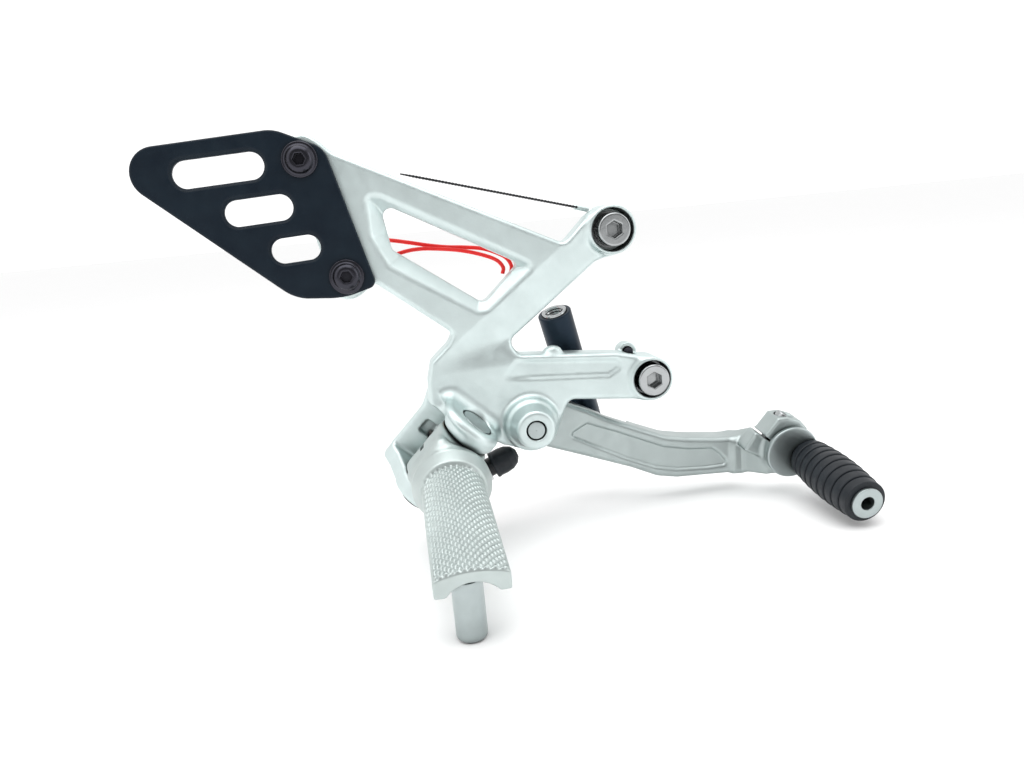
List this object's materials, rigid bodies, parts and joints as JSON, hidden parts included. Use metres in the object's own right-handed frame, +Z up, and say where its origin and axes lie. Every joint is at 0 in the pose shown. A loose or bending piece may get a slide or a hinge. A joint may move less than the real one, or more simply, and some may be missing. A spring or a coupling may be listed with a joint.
{
  "type": "footrest bracket assembly",
  "caption": "Cast motorcycle footrest bracket with a folding knurled foot peg, slotted heel guard, pivoting shift lever with rubber toe peg, and a linkage ball joint.",
  "frame": {"origin": "on the upper frame bolt's axis, on the rear face of the bracket that meets the frame", "axes": "+X forward on the motorcycle, +Y inward towards the frame, +Z up"},
  "size_m": [0.2634, 0.1277, 0.1683],
  "materials": {
    "cast_alloy": "satin",
    "lever_alloy": "satin",
    "peg_alloy": "satin",
    "black_satin": "satin",
    "black_zinc": "gloss",
    "black_zinc_body": "satin",
    "bright_steel": "polished",
    "satin_steel": "satin",
    "dark_spring_steel": "oiled",
    "spring_steel": "satin",
    "bronze": "satin",
    "black_rubber": "matte",
    "black_plastic": "matte",
    "red_insulation": "gloss"
  },
  "bodies": {
    "bracket": {"bracket": "cast_alloy", "heel_guard": "black_satin", "heel_guard_screws": "black_zinc", "frame_bolts": "bright_steel", "frame_bolt_washers": "bright_steel", "peg_hinge_pin": "satin_steel", "peg_pin_washer": "satin_steel", "peg_pin_circlip": "dark_spring_steel", "peg_return_spring": "spring_steel", "peg_thrust_washers": "bronze", "pivot_pin": "satin_steel", "pivot_seals": "black_rubber", "pivot_washer": "satin_steel", "pivot_circlip": "dark_spring_steel", "switch_body": "black_plastic", "switch_nut": "bright_steel", "switch_wire_long": "red_insulation", "switch_wire_short": "red_insulation", "cable_tie": "black_plastic", "loom_screw": "black_zinc"},
    "foot_peg": {"foot_peg": "peg_alloy", "peg_feeler": "satin_steel"},
    "shift_lever": {"shift_lever": "lever_alloy", "pivot_bush": "bronze", "pinch_screw": "bright_steel", "ball_stud": "bright_steel"},
    "toe_peg": {"toe_peg_core": "satin_steel", "toe_peg_rubber": "black_rubber"},
    "linkage_socket": {"linkage_socket": "black_zinc_body", "socket_boot": "black_rubber", "socket_insert": "bright_steel"},
    "switch_button": {"switch_plunger": "satin_steel", "switch_boot": "black_rubber"}
  },
  "joints": [
    {"name": "footpeg_fold", "type": "hinge", "parent": "bracket", "child": "foot_peg", "pos_m": [-0.0755, -0.0203, -0.083], "axis": [-0.6757, 0.1908, -0.712], "range_deg": [0, 75], "stiffness_Nm_per_rad": 0.15, "springref_deg": -34.38, "deforming": ["peg_return_spring"]},
    {"name": "lever_swing", "type": "hinge", "parent": "bracket", "child": "shift_lever", "pos_m": [-0.0395, 0, -0.074], "axis": [0, 1, 0], "range_deg": [-10, 10]},
    {"name": "toe_peg_turn", "type": "hinge", "parent": "shift_lever", "child": "toe_peg", "pos_m": [0.072, -0.017, -0.101], "axis": [0, -0.9914, -0.1305], "range_deg": [-180, 180]},
    {"name": "linkage_swivel", "type": "hinge", "parent": "shift_lever", "child": "linkage_socket", "pos_m": [-0.0098, 0.0148, -0.0825], "axis": [0, 1, 0], "range_deg": [-12, 12]},
    {"name": "switch_press", "type": "slide", "parent": "bracket", "child": "switch_button", "axis": [-0.9336, 0, -0.3584], "range_m": [0, 0.0015], "stiffness_N_per_m": 400, "springref_m": -0.002}
  ]
}
